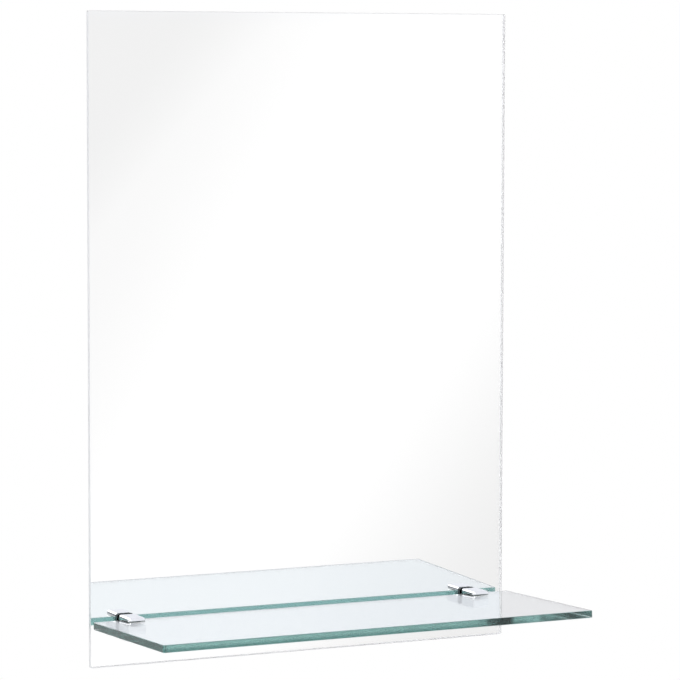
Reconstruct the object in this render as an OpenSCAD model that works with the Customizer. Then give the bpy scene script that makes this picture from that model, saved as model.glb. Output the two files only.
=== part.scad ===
// Frameless wall mirror with a clear glass shelf held in two chromed clamps.
//
// X runs to the right, Y into the wall and Z up. The wall is the plane Y = 0, and the
// origin lies midway between the two keyholes that the mirror hangs by.
// The shelf and its clamps are drawn in a frame of their own, which leans with the shelf:
// its zero is where the shelf's top plane meets the mirror's face.

/* [Mirror] */
// Width of the mirror
mirror_w = 500; // [400:10:800]
// Height of the mirror
mirror_h = 700; // [500:10:1000]
// Thickness of the mirror's glass
mirror_t = 5; // [4:1:8]
// Radius of the mirror's corners
mirror_corner_r = 2; // [1:0.5:8]
// Thickness of the silvering with its protective film
backing_t = 0.3; // [0.2:0.1:0.6]
// Width of the ground arris along every glass edge
arris = 0.5; // [0.3:0.1:0.8]

/* [Shelf] */
// Width of the shelf
shelf_w = 502; // [460:2:800]
// Depth of the shelf from its back edge to its front edge
shelf_d = 192; // [100:2:250]
// Thickness of the shelf's glass
shelf_t = 8; // [6:1:12]
// Radius of the shelf's corners
shelf_corner_r = 1.5; // [1:0.5:10]
// Height of the shelf's top above the mirror's lower edge, at the mirror's face
shelf_lift = 51; // [40:1:200]
// Room between the mirror's face and the shelf's back edge
shelf_gap = 10; // [9.5:0.5:16]
// Angle by which the shelf's front edge is raised
shelf_pitch = 1.9; // [0:0.1:3]

/* [Clamps] */
// Width of a clamp
clamp_w = 20; // [18:1:30]
// Reach of the jaws over the glass, from its back edge
jaw_cover = 19; // [18:1:30]
// Distance from the end of the shelf to the middle of a clamp
clamp_inset = 42; // [30:1:90]
// Thickness of the upper jaw at its nose
upper_jaw_t = 3.4; // [2.5:0.1:5]
// Angle by which the upper jaw's top rises from its nose towards the mirror
jaw_slope = 1.9; // [0:0.1:3]
// Thickness of the lower jaw, which holds the clamp screw
lower_jaw_t = 9.5; // [8:0.5:14]
// Rounding of the upper jaw's top edges
clamp_top_r = 2.4; // [0.5:0.1:2.5]
// Rounding of the lower jaw's edges
clamp_edge_r = 0.8; // [0.4:0.1:1]
// Rounding of the lower jaw's front corner
lower_jaw_r = 3; // [1:0.5:5]
// Rounding of a clamp's front corners in plan
clamp_nose_r = 1; // [1:0.5:4]
// Thickness of the soft liner in the jaws
liner_t = 0.6; // [0.4:0.1:1.5]
// Thickness of the gasket between a clamp and the mirror
gasket_t = 2; // [0.5:0.1:2.2]

/* [Clamp screws] */
// Diameter of a clamp screw
screw_d = 6; // [5:0.5:8]
// Length of a clamp screw's thread
screw_len = 10; // [8:0.5:14]
// Distance from the shelf's back edge to a clamp screw
screw_in = 10; // [9:0.5:12]
// Diameter of the pressure pad
pad_d = 13; // [10:0.5:16]
// Thickness of the pressure pad
pad_t = 2; // [1.6:0.1:3]
// Diameter of the nose that carries the pressure pad
nose_d = 3.5; // [2.5:0.5:4]
// Travel of the pressure pad from clamped to loose
clamp_travel = 1.5; // [0.5:0.1:3]

/* [Bolts] */
// Diameter of the bolts that hold the clamps through the mirror
bolt_d = 5; // [4:0.5:6]
// Depth of the bolt's hold in the clamp
bolt_grip = 5; // [4:0.5:5.5]
// Diameter of a bolt's head
bolt_head_d = 9.5; // [8:0.5:11]
// Height of a bolt's head
bolt_head_h = 3; // [2:0.2:3.6]
// Diameter of the holes drilled through the mirror
mirror_hole_d = 10; // [9:0.5:12]
// Outer diameter of the soft washers behind the mirror
soft_washer_d = 20; // [16:1:24]
// Thickness of the soft washers
soft_washer_t = 1; // [0.5:0.1:1.5]
// Outer diameter of the steel washers
steel_washer_d = 18; // [14:1:22]
// Thickness of the steel washers
steel_washer_t = 1.2; // [0.8:0.1:1.5]

/* [Hangers] */
// Distance between the mirror's back and the wall
stand_off = 8; // [7:0.5:14]
// Distance from the mirror's side edge to a keyhole's middle
hanger_inset = 100; // [60:5:140]
// Distance from the mirror's upper edge down to the keyholes
hanger_drop = 100; // [60:5:200]
// Width of a hanger plate
hanger_w = 70; // [64:2:100]
// Height of a hanger plate
hanger_h = 70; // [50:2:100]
// Thickness of a hanger plate
hanger_t = 1.2; // [0.8:0.1:2]
// Radius of a hanger plate's corners
hanger_corner_r = 3; // [1:0.5:6]
// Inner radius of the bends in a hanger plate
bend_r = 1; // [0.5:0.1:1.5]
// Width of the raised strip that lies against the wall
strip_w = 34; // [26:1:36]
// Thickness of the adhesive foam under a hanger plate
tape_t = 1.5; // [1:0.1:2]
// Diameter of a keyhole's round opening
keyhole_d = 10; // [9:0.5:12]
// Width of a keyhole's slot
slot_w = 5; // [4:0.5:6]
// Height from the round opening's middle to the slot's seat
slot_rise = 13; // [10:1:16]
// Diameter of the grip holes in a hanger plate's flanges
grip_hole_d = 5; // [3:0.5:6]
// Number of grip holes in each flange
grip_hole_count = 3; // [2:1:4]

/* [Bumpers] */
// Diameter of a bumper where it is stuck to the mirror
bumper_d = 20; // [14:1:24]
// Diameter of a bumper where it meets the wall
bumper_face_d = 15; // [8:1:16]
// Distance from the mirror's side edge to a bumper's middle
bumper_side = 20; // [14:1:24]
// Distance from the mirror's lower edge to a bumper's middle
bumper_rise = 16; // [14:1:20]

/* [Hidden] */
$fn = 48;

// Clearances
thread_clear = 0.05;
sleeve_clear = 0.1;
bolt_clear = 0.2;
edge_clear = 0.1;
pad_clear = 0.4;
bore_end_clear = 1;
bore_chamfer = 0.6;

// Overlap that carries a cut past the face it opens
past = 1;

// Heights of the mirror's edges above the keyholes
mirror_top = hanger_drop;
mirror_bottom = mirror_top - mirror_h;

// Depths from the wall, going out into the room
backing_back = -stand_off;
glass_back = backing_back - backing_t;
glass_front = glass_back - mirror_t;
clamp_back = glass_front - gasket_t;

// Levels in the shelf's own frame
shelf_top_z = mirror_bottom + shelf_lift;
jaw_gap = pad_t + clamp_travel + pad_clear;
jaw_roof = liner_t + upper_jaw_t;
jaw_floor = -shelf_t - jaw_gap;
jaw_sole = jaw_floor - lower_jaw_t;
stem_t = shelf_gap - liner_t - edge_clear;
clamp_reach = shelf_gap + jaw_cover;
jaw_heel = jaw_roof + (clamp_reach - gasket_t) * tan(jaw_slope);
clamp_h = jaw_heel - jaw_sole;
screw_y = -shelf_gap - screw_in;

// Places of what comes in pairs
clamp_x = min(shelf_w, mirror_w) / 2 - clamp_inset;
hanger_x = mirror_w / 2 - hanger_inset;
bumper_x = mirror_w / 2 - bumper_side;
bumper_z = mirror_bottom + bumper_rise;
bolt_z = shelf_top_z + jaw_sole + clamp_h / 2;

// Everything a clamp is made of reaches this far behind its seat before it is trimmed
clamp_tail = 4;

// Fillets in the corners of a clamp's mouth and chamfers on its lips
jaw_fillet = 0.5;
jaw_lip = 0.5;

// Flange, slope and strip of a hanger plate
hanger_rise = stand_off - tape_t - hanger_t;
flange_w = (hanger_w - strip_w) / 2 - hanger_rise;
tape_w = flange_w - 1;
tape_h = hanger_h - 2 * hanger_corner_r;

// The slopes rise at 45 degrees, so a bend takes this share of its radius from each side
bend_share = tan(45 / 2);
bend_steps = 6;

// ---- Shapes that several pieces share ----

// Rectangle round the origin with round corners
module rounded_rect(w, h, r) {
    square([w - 2 * r, h], center = true);
    square([w, h - 2 * r], center = true);
    for (sx = [-1, 1], sy = [-1, 1])
        translate([sx * (w / 2 - r), sy * (h / 2 - r)])
            circle(r);
}

// Section of an edge-ground sheet: a slab with all four corners cut back
module ground_section(w, t, cut) {
    edge = w / 2;
    polygon([
        [cut - edge, 0], [edge - cut, 0], [edge, cut], [edge, t - cut],
        [edge - cut, t], [cut - edge, t], [-edge, t - cut], [-edge, cut]
    ]);
}

// Glass sheet in the XY plane with round corners and a ground arris along every edge
module ground_sheet(w, h, t, r, cut) {
    rotate([90, 0, 0])
        linear_extrude(h - 2 * r, center = true)
            ground_section(w, t, cut);
    rotate([90, 0, 90])
        linear_extrude(w - 2 * r, center = true)
            ground_section(h, t, cut);
    for (sx = [-1, 1], sy = [-1, 1])
        translate([sx * (w / 2 - r), sy * (h / 2 - r), 0])
            rotate_extrude()
                intersection() {
                    ground_section(2 * r, t, cut);
                    square([r, t]);
                }
}

// Ring with its lower face on the XY plane
module ring(outer_d, inner_d, t) {
    difference() {
        cylinder(h = t, d = outer_d);
        translate([0, 0, -past])
            cylinder(h = t + 2 * past, d = inner_d);
    }
}

// Stands what is drawn flat up against the wall, its lower face at the given depth
module against_wall(depth) {
    translate([0, depth, 0])
        rotate([90, 0, 0])
            children();
}

// Places what is drawn for one clamp in the frame that leans with the shelf
module at_shelf(x = 0) {
    translate([x, glass_front, shelf_top_z])
        rotate([-shelf_pitch, 0, 0])
            children();
}

// Repeats what lies on the line of each clamp's bolt
module at_bolts(depth) {
    for (side = [-1, 1])
        translate([side * clamp_x, depth, bolt_z])
            rotate([90, 0, 0])
                children();
}

// ---- Mirror and shelf ----

module mirror_glass() {
    color("#dfe9e8", 0.5)
        difference() {
            translate([0, 0, (mirror_top + mirror_bottom) / 2])
                against_wall(glass_back)
                    ground_sheet(mirror_w, mirror_h, mirror_t, mirror_corner_r, arris);
            at_bolts(glass_back + past)
                cylinder(h = mirror_t + 2 * past, d = mirror_hole_d);
        }
}

module mirror_backing() {
    color("#b9bec2")
        difference() {
            translate([0, 0, (mirror_top + mirror_bottom) / 2])
                against_wall(backing_back)
                    linear_extrude(backing_t)
                        rounded_rect(mirror_w - 2 * arris, mirror_h - 2 * arris, mirror_corner_r - arris);
            at_bolts(backing_back + past)
                cylinder(h = backing_t + 2 * past, d = mirror_hole_d);
        }
}

module shelf_glass() {
    color("#bfe0d8", 0.5)
        at_shelf()
            translate([0, -shelf_gap - shelf_d / 2, -shelf_t])
                ground_sheet(shelf_w, shelf_d, shelf_t, shelf_corner_r, arris);
}

// ---- Clamps ----

// Side view of a clamp, X pointing out of the mirror: two jaws on one stem
module clamp_side() {
    // The upper rounding touches both the upright nose and the sloping roof
    nose_z = jaw_roof - clamp_top_r * (1 - sin(jaw_slope)) / cos(jaw_slope);
    nose_x = clamp_reach - clamp_top_r;
    tail_z = jaw_roof + (clamp_reach + clamp_tail) * tan(jaw_slope);
    difference() {
        union() {
            polygon([
                [-clamp_tail, jaw_sole], [clamp_reach - lower_jaw_r, jaw_sole],
                [clamp_reach, jaw_sole + lower_jaw_r], [clamp_reach, nose_z],
                [nose_x + clamp_top_r * sin(jaw_slope), nose_z + clamp_top_r * cos(jaw_slope)],
                [-clamp_tail, tail_z]
            ]);
            translate([clamp_reach - lower_jaw_r, jaw_sole + lower_jaw_r])
                circle(lower_jaw_r);
            translate([nose_x, nose_z])
                circle(clamp_top_r);
        }
        clamp_mouth();
    }
}

// Fillet in the corner at the origin
module inside_fillet(r) {
    difference() {
        square(r);
        translate([r, r])
            circle(r);
    }
}

// Cutter for a chamfer on the corner at the origin
module chamfer_cut(leg) {
    rotate(45)
        square(leg * sqrt(2), center = true);
}

// The mouth that takes the glass, with fillets at the stem and eased lips
module clamp_mouth() {
    difference() {
        translate([stem_t, jaw_floor])
            square([clamp_reach, liner_t - jaw_floor]);
        translate([stem_t, jaw_floor])
            inside_fillet(jaw_fillet);
        translate([stem_t, liner_t])
            mirror([0, 1])
                inside_fillet(jaw_fillet);
    }
    for (lip = [jaw_floor, liner_t])
        translate([clamp_reach, lip])
            chamfer_cut(jaw_lip);
}

// Plan of a clamp: square at the mirror, round at the two front corners
module clamp_plan() {
    translate([-clamp_w / 2, -clamp_reach + clamp_nose_r])
        square([clamp_w, clamp_reach - clamp_nose_r + clamp_tail]);
    translate([-clamp_w / 2 + clamp_nose_r, -clamp_reach])
        square([clamp_w - 2 * clamp_nose_r, clamp_reach]);
    for (side = [-1, 1])
        translate([side * (clamp_w / 2 - clamp_nose_r), -clamp_reach + clamp_nose_r])
            circle(clamp_nose_r);
}

// Bar as wide as a clamp with rounded edges, running back from the origin under the XY plane
module rounded_bar(r) {
    translate([0, clamp_reach + clamp_tail, -clamp_h])
        rotate([90, 0, 0])
            linear_extrude(clamp_reach + clamp_tail + past)
                rounded_rect(clamp_w, 2 * clamp_h, r);
}

// Chromed casting: its views meet in one solid, rounded above and eased below, and it is
// trimmed square to the mirror
module clamp_body(x) {
    color("#c9cdd2")
        difference() {
            at_shelf(x)
                difference() {
                    intersection() {
                        rotate([90, 0, -90])
                            linear_extrude(clamp_w, center = true)
                                clamp_side();
                        translate([0, 0, jaw_sole])
                            linear_extrude(clamp_h + past)
                                clamp_plan();
                        translate([0, -clamp_reach, jaw_roof])
                            rotate([jaw_slope, 0, 0])
                                rounded_bar(clamp_top_r);
                        translate([0, -clamp_reach, jaw_sole])
                            mirror([0, 0, 1])
                                rounded_bar(clamp_edge_r);
                    }
                    translate([0, screw_y, jaw_sole - past])
                        cylinder(h = lower_jaw_t + 2 * past, d = screw_d + 2 * thread_clear);
                    translate([0, screw_y, jaw_sole])
                        cylinder(h = bore_chamfer, d1 = screw_d + 2 * bore_chamfer, d2 = screw_d);
                }
            translate([x - clamp_w, clamp_back, shelf_top_z + 2 * jaw_sole])
                cube([2 * clamp_w, clamp_reach, 4 * clamp_h]);
            translate([x, clamp_back + past, bolt_z])
                rotate([90, 0, 0])
                    cylinder(h = past + bolt_grip + bore_end_clear, d = bolt_d + 2 * thread_clear);
        }
}

// Dark rubber strip that lines the stem and the upper jaw
module jaw_liner(x) {
    liner_w = clamp_w - 2 * clamp_edge_r;
    liner_end = clamp_reach - clamp_nose_r;
    color("#33383b")
        at_shelf(x)
            rotate([90, 0, -90])
                linear_extrude(liner_w, center = true)
                    difference() {
                        translate([stem_t, -shelf_t])
                            square([liner_end - stem_t, shelf_t + liner_t]);
                        translate([shelf_gap - edge_clear, -shelf_t - past])
                            square([liner_end, shelf_t + past]);
                        translate([stem_t, liner_t])
                            chamfer_cut(jaw_fillet);
                    }
}

// Dark rubber seal between a clamp and the mirror's face
module clamp_gasket(x) {
    gasket_w = clamp_w - 2 * clamp_edge_r;
    gasket_h = clamp_h - 2 * clamp_edge_r;
    color("#33383b")
        translate([x, glass_front, bolt_z])
            rotate([90, 0, 0])
                linear_extrude(gasket_t)
                    difference() {
                        rounded_rect(gasket_w, gasket_h, clamp_nose_r);
                        circle(d = bolt_d + 2 * bolt_clear);
                    }
}

// Pad that the clamp screw presses up against the underside of the glass
module pressure_pad(x) {
    pad_edge = pad_t / 4;
    socket_d = nose_d + 2 * thread_clear;
    color("#f0f0ea")
        at_shelf(x)
            translate([0, screw_y, -shelf_t - pad_t])
                rotate_extrude()
                    polygon([
                        [0, pad_t], [0, pad_t / 2], [socket_d / 2, pad_t / 2], [socket_d / 2, 0],
                        [pad_d / 2 - pad_edge, 0], [pad_d / 2, pad_edge],
                        [pad_d / 2, pad_t - pad_edge], [pad_d / 2 - pad_edge, pad_t]
                    ]);
}

// Set screw: a nose for the pad at the top, a thread in the lower jaw, a hex socket below
module clamp_screw(x) {
    nose_h = pad_t / 2 - thread_clear;
    lead = screw_d / 10;
    socket_depth = screw_len / 2;
    color("#8d9196")
        at_shelf(x)
            translate([0, screw_y, -shelf_t - pad_t])
                difference() {
                    rotate_extrude()
                        polygon([
                            [0, nose_h], [nose_d / 2, nose_h], [nose_d / 2, 0],
                            [screw_d / 2 - lead, 0], [screw_d / 2, -lead],
                            [screw_d / 2, -screw_len + lead], [screw_d / 2 - lead, -screw_len],
                            [0, -screw_len]
                        ]);
                    translate([0, 0, -screw_len - past])
                        cylinder(h = socket_depth + past, d = screw_d * 0.58, $fn = 6);
                }
}

// ---- Bolts through the mirror ----

module clamp_bolts() {
    head_back = backing_back + soft_washer_t + steel_washer_t;
    shank = head_back - clamp_back + bolt_grip;
    socket_d = bolt_d * 0.7;
    color("#a7abb0")
        at_bolts(head_back)
            difference() {
                rotate_extrude()
                    polygon([
                        [0, -bolt_head_h], [bolt_head_d / 2 - arris, -bolt_head_h],
                        [bolt_head_d / 2, arris - bolt_head_h], [bolt_head_d / 2, 0],
                        [bolt_d / 2, 0], [bolt_d / 2, shank - arris],
                        [bolt_d / 2 - arris, shank], [0, shank]
                    ]);
                translate([0, 0, -bolt_head_h - past])
                    cylinder(h = bolt_head_h * 0.7 + past, d = socket_d, $fn = 6);
            }
}

// Bushes that keep the bolts off the glass
module hole_sleeves() {
    color("#eceae2")
        at_bolts(backing_back)
            ring(mirror_hole_d - 2 * sleeve_clear, bolt_d + 2 * bolt_clear, backing_t + mirror_t);
}

module soft_washers() {
    color("#3a3a3a")
        at_bolts(backing_back + soft_washer_t)
            ring(soft_washer_d, bolt_d + 2 * bolt_clear, soft_washer_t);
}

module steel_washers() {
    color("#b4b8bc")
        at_bolts(backing_back + soft_washer_t + steel_washer_t)
            ring(steel_washer_d, bolt_d + 2 * bolt_clear, steel_washer_t);
}

// ---- Hangers and bumpers ----

// Points along an arc round a centre
function arc(centre, r, from, to) = [
    for (i = [0 : bend_steps])
        let (angle = from + (to - from) * i / bend_steps)
            centre + r * [cos(angle), sin(angle)]
];

// Section of a hanger plate seen from above: two flanges, two slopes and a raised strip.
// Each slope leaves the strip in one bend and meets its flange in another.
module hanger_section() {
    outer_r = bend_r + hanger_t;
    strip_bend = [strip_w / 2 - outer_r * bend_share, -outer_r];
    flange_bend = [strip_w / 2 + hanger_rise + bend_r * bend_share, bend_r - hanger_rise];
    right = concat(
        arc(strip_bend, outer_r, 90, 45),
        arc(flange_bend, bend_r, 225, 270),
        [[hanger_w / 2, -hanger_rise], [hanger_w / 2, -hanger_rise - hanger_t]],
        arc(flange_bend, outer_r, 270, 225),
        arc(strip_bend, bend_r, 45, 90)
    );
    left = [for (i = [len(right) - 1 : -1 : 0]) [-right[i][0], right[i][1]]];
    polygon(concat(right, left));
}

// Keyhole: a round opening below, a slot above it that ends in a round seat
module keyhole() {
    circle(d = keyhole_d);
    translate([-slot_w / 2, 0])
        square([slot_w, slot_rise]);
    translate([0, slot_rise])
        circle(d = slot_w);
}

module hanger_plate(x) {
    grip_pitch = hanger_h / grip_hole_count;
    grip_x = hanger_w / 2 - flange_w / 2;
    color("#aeb4b8")
        translate([x, 0, 0])
            difference() {
                intersection() {
                    linear_extrude(hanger_h, center = true)
                        hanger_section();
                    against_wall(past)
                        linear_extrude(stand_off + past)
                            rounded_rect(hanger_w, hanger_h, hanger_corner_r);
                }
                against_wall(past)
                    linear_extrude(hanger_t + 2 * past)
                        keyhole();
                for (side = [-1, 1], i = [0 : grip_hole_count - 1])
                    translate([side * grip_x, 0, (i + 0.5) * grip_pitch - hanger_h / 2])
                        rotate([90, 0, 0])
                            cylinder(h = stand_off, d = grip_hole_d);
            }
}

// Two strips of foam that stick a hanger plate's flanges to the mirror
module hanger_tape(x) {
    tape_x = hanger_w / 2 - flange_w / 2;
    color("#e9e6da")
        for (side = [-1, 1])
            translate([x + side * tape_x, tape_t / 2 - stand_off, 0])
                cube([tape_w, tape_t, tape_h], center = true);
}

// Soft feet that hold the mirror's lower edge as far off the wall as the hangers do
module wall_bumpers() {
    bumper_r = stand_off / 8;
    color("#4a4d50")
        for (side = [-1, 1])
            translate([side * bumper_x, backing_back, bumper_z])
                rotate([-90, 0, 0])
                    rotate_extrude()
                        polygon([
                            [0, 0], [bumper_d / 2, 0], [bumper_d / 2, bumper_r],
                            [bumper_face_d / 2, stand_off - bumper_r],
                            [bumper_face_d / 2 - bumper_r, stand_off], [0, stand_off]
                        ]);
}

// ---- Nodes ----

mirror_glass();
mirror_backing();
shelf_glass();
clamp_body(-clamp_x);  // left_clamp_body
clamp_body(clamp_x);  // right_clamp_body
jaw_liner(-clamp_x);  // left_jaw_liner
jaw_liner(clamp_x);  // right_jaw_liner
clamp_gasket(-clamp_x);  // left_clamp_gasket
clamp_gasket(clamp_x);  // right_clamp_gasket
pressure_pad(-clamp_x);  // left_pressure_pad
pressure_pad(clamp_x);  // right_pressure_pad
clamp_screw(-clamp_x);  // left_clamp_screw
clamp_screw(clamp_x);  // right_clamp_screw
clamp_bolts();
hole_sleeves();
soft_washers();
steel_washers();
hanger_plate(-hanger_x);  // left_hanger_plate
hanger_plate(hanger_x);  // right_hanger_plate
hanger_tape(-hanger_x);  // left_hanger_tape
hanger_tape(hanger_x);  // right_hanger_tape
wall_bumpers();
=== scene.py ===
"""Studio picture of a frameless wall mirror with a clear glass shelf in two chromed clamps.

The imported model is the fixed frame. X runs to the right, Y into the wall and Z up, in metres.
The wall is the plane Y = 0, and the origin lies midway between the two keyholes.
"""

from __future__ import annotations

import logging
import math
from dataclasses import dataclass
from enum import Enum
from typing import Any, Dict, List, Mapping, Optional, Sequence, Tuple, Union

import bmesh
import bpy
from mathutils import Matrix, Vector
from mathutils.geometry import delaunay_2d_cdt


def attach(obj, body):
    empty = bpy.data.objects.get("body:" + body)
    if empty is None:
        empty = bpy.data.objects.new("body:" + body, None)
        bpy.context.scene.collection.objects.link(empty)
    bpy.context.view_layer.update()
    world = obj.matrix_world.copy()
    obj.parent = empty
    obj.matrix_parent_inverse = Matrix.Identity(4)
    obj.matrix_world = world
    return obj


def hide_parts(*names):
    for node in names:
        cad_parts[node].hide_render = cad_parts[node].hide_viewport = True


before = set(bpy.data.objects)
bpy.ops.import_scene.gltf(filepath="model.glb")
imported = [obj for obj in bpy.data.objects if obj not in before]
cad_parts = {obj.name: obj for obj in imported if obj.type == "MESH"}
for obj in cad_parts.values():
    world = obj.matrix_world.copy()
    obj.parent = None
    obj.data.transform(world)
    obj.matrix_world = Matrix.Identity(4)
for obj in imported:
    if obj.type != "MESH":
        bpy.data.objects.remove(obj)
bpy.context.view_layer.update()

LOG = logging.getLogger("mirror_with_shelf")
MM = 0.001
ROUND_STEPS = 48
CORNER_STEPS = 6
MERGED = 0.0005 * MM
TINY = 1e-9
CLOSE = 1e-8

Point2 = Tuple[float, float]
Piece = bpy.types.Object
Shape = bmesh.types.BMesh
Socket = bpy.types.NodeSocket
Material = bpy.types.Material
Key = Union[str, int]
Number = Union["Wire", float, int]
Vector3 = Tuple[float, float, float]
Colour = Vector3


# ---- Shader maths ----


class Wire:
    """A node's value that takes part in plain arithmetic."""

    def __init__(self, socket: Socket) -> None:
        """Wraps one output socket."""
        self.socket = socket

    def _maths(self, operation: str, *values: Number) -> Wire:
        """Adds one Math node.

        Args:
            operation: The Math node's operation.
            values: Its inputs, in order.

        Returns:
            The node's result.
        """
        writer = TreeWriter(self.socket.id_data)
        inputs = dict(enumerate(values))
        return Wire(writer.node("ShaderNodeMath", {"operation": operation}, inputs).outputs[0])

    def __add__(self, other: Number) -> Wire:
        """Sum."""
        return self._maths("ADD", self, other)

    def __sub__(self, other: Number) -> Wire:
        """Difference."""
        return self._maths("SUBTRACT", self, other)

    def __rsub__(self, other: Number) -> Wire:
        """Difference from a plain number."""
        return self._maths("SUBTRACT", other, self)

    def __mul__(self, other: Number) -> Wire:
        """Product."""
        return self._maths("MULTIPLY", self, other)

    def __gt__(self, other: Number) -> Wire:
        """One where this value is above the other, else zero."""
        return self._maths("GREATER_THAN", self, other)

    def __abs__(self) -> Wire:
        """Size without the sign."""
        return self._maths("ABSOLUTE", self)

    def larger(self, other: Number) -> Wire:
        """The larger of the two values."""
        return self._maths("MAXIMUM", self, other)

    def ramp(self, low: float, high: float) -> Wire:
        """Rises smoothly from zero to one.

        Args:
            low: The value at which the ramp starts.
            high: The value at which it ends.

        Returns:
            The ramped value.
        """
        node = TreeWriter(self.socket.id_data).node(
            "ShaderNodeMapRange",
            {"interpolation_type": "SMOOTHSTEP"},
            {"Value": self, "From Min": low, "From Max": high},
        )
        return Wire(node.outputs["Result"])

    __radd__ = __add__
    __rmul__ = __mul__


def plug(socket: Socket, value: Any) -> None:
    """Links a wire or a socket to an input, or sets the input's plain value.

    Args:
        socket: The input to fill.
        value: A wire, a socket, a number, a colour or a vector.
    """
    if isinstance(value, Wire):
        value = value.socket
    if isinstance(value, Socket):
        socket.id_data.links.new(value, socket)
    elif isinstance(socket, bpy.types.NodeSocketColor) and len(value) == 3:
        socket.default_value = (*value, 1.0)
    else:
        socket.default_value = value


class TreeWriter:
    """Adds nodes to a shader tree or a geometry tree."""

    def __init__(self, tree: bpy.types.NodeTree) -> None:
        """Takes the tree that is written."""
        self.tree = tree

    def node(
        self,
        kind: str,
        settings: Optional[Mapping[str, Any]] = None,
        inputs: Optional[Mapping[Key, Any]] = None,
    ) -> bpy.types.Node:
        """Adds any node.

        Args:
            kind: The node's type.
            settings: Its settings, set before its inputs.
            inputs: Values or links by the input's name or place.

        Returns:
            The new node.
        """
        made = self.tree.nodes.new(kind)
        for key, value in (settings or {}).items():
            setattr(made, key, value)
        for key, value in (inputs or {}).items():
            plug(made.inputs[key], value)
        return made


class Recipe(TreeWriter):
    """The shader tree of a finish or of the sky, while it is written."""

    def __init__(self, tree: bpy.types.NodeTree) -> None:
        """Empties the tree, ready for new nodes."""
        super().__init__(tree)
        tree.nodes.clear()

    def place(
        self, centre: Sequence[float] = (0, 0, 0), turn: Sequence[float] = (0, 0, 0)
    ) -> Socket:
        """Object coordinates seen from a frame of their own.

        Args:
            centre: Origin of that frame.
            turn: Its rotation in radians.

        Returns:
            The coordinates' socket.
        """
        source = self.node("ShaderNodeTexCoord").outputs["Object"]
        inputs = {"Vector": source, "Location": tuple(centre), "Rotation": tuple(turn)}
        return self.node("ShaderNodeMapping", {"vector_type": "TEXTURE"}, inputs).outputs[0]

    def split(self, vector: Socket) -> List[Wire]:
        """The three parts of a vector."""
        parts = self.node("ShaderNodeSeparateXYZ", inputs={0: vector})
        return [Wire(part) for part in parts.outputs]

    def combined(self, operation: str, vector: Socket, other: Sequence[float]) -> bpy.types.Node:
        """A node that puts two vectors together by an operation."""
        inputs = {0: vector, 1: tuple(other)}
        return self.node("ShaderNodeVectorMath", {"operation": operation}, inputs)

    def noise(
        self,
        vector: Socket,
        scale: float,
        detail: float,
        stretch: Sequence[float] = (1, 1, 1),
    ) -> Wire:
        """Soft noise from zero to one.

        Args:
            vector: Where the pattern is read.
            scale: Patches to the metre.
            detail: Finer layers on top.
            stretch: Share of that scale along each axis.

        Returns:
            The noise value.
        """
        read = self.combined("MULTIPLY", vector, stretch).outputs[0]
        inputs = {"Vector": read, "Scale": scale, "Detail": detail}
        return Wire(self.node("ShaderNodeTexNoise", inputs=inputs).outputs[0])

    def blend(self, factor: Number, low: Any, high: Any) -> Socket:
        """Mixes two colours.

        Args:
            factor: Zero for the first colour, one for the second.
            low: The first colour or its socket.
            high: The second colour or its socket.

        Returns:
            The mixed colour's socket.
        """
        mix = self.node("ShaderNodeMix", {"data_type": "RGBA"}, {"Factor": factor})
        for socket, colour in zip([s for s in mix.inputs if s.type == "RGBA"], (low, high)):
            plug(socket, colour)
        return next(s for s in mix.outputs if s.type == "RGBA")

    def bump(self, height: Wire, depth: float) -> Socket:
        """A normal raised by a height of which one stands for a depth in metres."""
        inputs = {"Height": height, "Distance": depth}
        return self.node("ShaderNodeBump", inputs=inputs).outputs[0]


# ---- Finishes ----


class Finish:
    """A surface that is written as a node tree round one Principled shader.

    Roughness is the least that the surface has and what its grain adds to it. Relief is the
    height of its bumps.
    """

    name: str
    roughness: Point2
    relief: float

    def material(self) -> Material:
        """Writes the finish.

        Returns:
            The material.
        """
        material = bpy.data.materials.new(self.name)
        material.use_nodes = True
        recipe = Recipe(material.node_tree)
        shader = recipe.node("ShaderNodeBsdfPrincipled", inputs=self.surface(recipe))
        ends = {"Surface": shader.outputs[0], **self.filling(recipe)}
        recipe.node("ShaderNodeOutputMaterial", inputs=ends)
        return material

    def surface(self, recipe: Recipe) -> Dict[str, Any]:
        """The Principled shader's inputs."""
        raise NotImplementedError

    def filling(self, recipe: Recipe) -> Dict[str, Any]:
        """The output's inputs for what lies under the surface."""
        return {}

    def rough(self, grain: Wire) -> Wire:
        """The roughness that a grain gives."""
        return grain * self.roughness[1] + self.roughness[0]


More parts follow.
